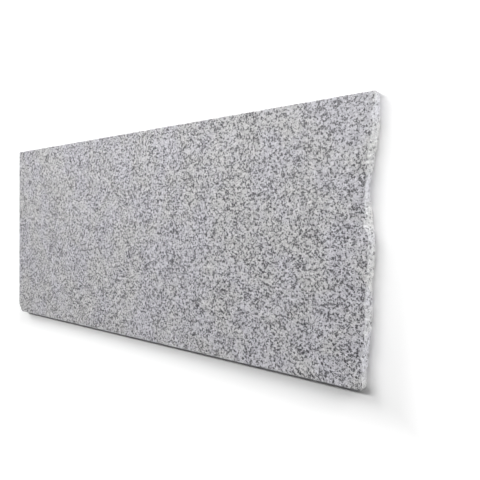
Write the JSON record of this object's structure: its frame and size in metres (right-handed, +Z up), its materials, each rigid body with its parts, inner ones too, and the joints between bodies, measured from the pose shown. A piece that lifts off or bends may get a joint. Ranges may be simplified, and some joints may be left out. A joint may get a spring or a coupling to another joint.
{
  "type": "granite paving strip",
  "caption": "Flat sawn granite strip with straight long edges, one sawn end and one rough broken end, for paving, steps and cladding.",
  "frame": {"origin": "middle of the bed, the face that the strip lies on", "axes": "+X along the length towards the broken end, +Y across the width, +Z up out of the walking face"},
  "size_m": [1.3999, 0.6, 0.03],
  "materials": {
    "granite": "matt sawn, light grey with dark grains"
  },
  "bodies": {
    "root": {"granite_strip": "granite"}
  },
  "joints": []
}
